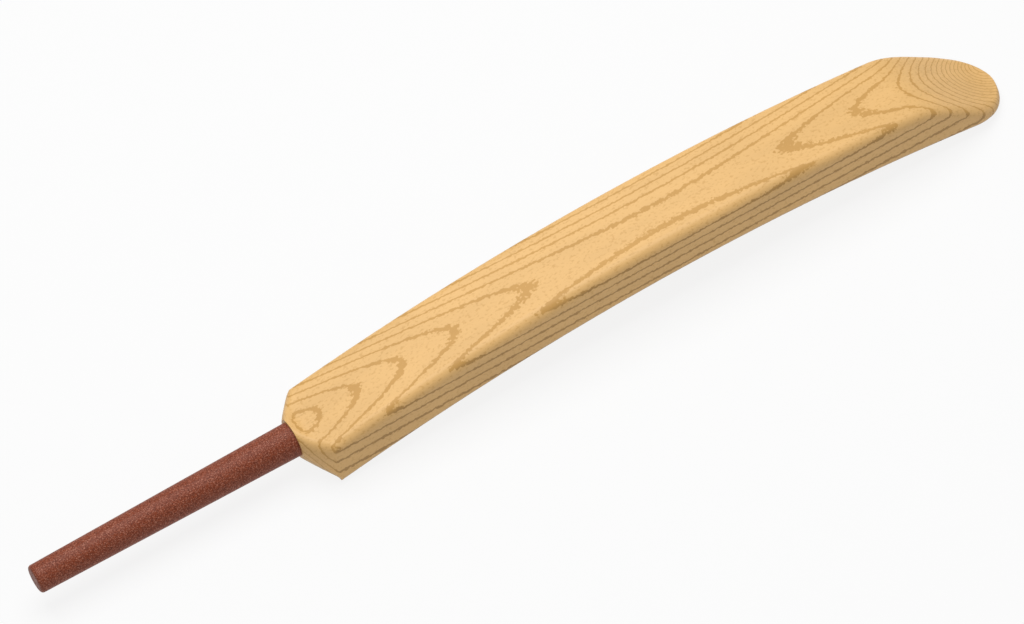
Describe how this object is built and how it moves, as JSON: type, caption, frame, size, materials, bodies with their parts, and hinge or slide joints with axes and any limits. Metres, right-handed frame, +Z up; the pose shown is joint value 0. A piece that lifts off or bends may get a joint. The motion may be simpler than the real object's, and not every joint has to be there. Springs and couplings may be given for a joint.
{
  "type": "cricket bat",
  "caption": "Cricket bat with an arched willow blade, a rounded ramp toe and a slim tapered handle in a dark red rubber grip.",
  "frame": {"origin": "on the plane the bat rests on when it lies face up, under the middle of its overall length and on its centre plane", "axes": "+X along the bat from the butt of the handle to the tip of the toe, +Z up out of the striking face, Y across the blade"},
  "size_m": [0.965, 0.0828, 0.0805],
  "materials": {
    "willow": "satin",
    "cane": "matte",
    "spring_rubber": "matte",
    "twine": "matte",
    "grip_rubber": "satin"
  },
  "bodies": {
    "root": {"blade": "willow", "cane_upper_1": "cane", "cane_upper_2": "cane", "cane_upper_3": "cane", "cane_upper_4": "cane", "cane_middle_1": "cane", "cane_middle_2": "cane", "cane_middle_3": "cane", "cane_middle_4": "cane", "cane_lower_1": "cane", "cane_lower_2": "cane", "cane_lower_3": "cane", "cane_lower_4": "cane", "spring_upper": "spring_rubber", "spring_lower": "spring_rubber", "twine_binding": "twine", "grip_sleeve": "grip_rubber"}
  },
  "joints": []
}
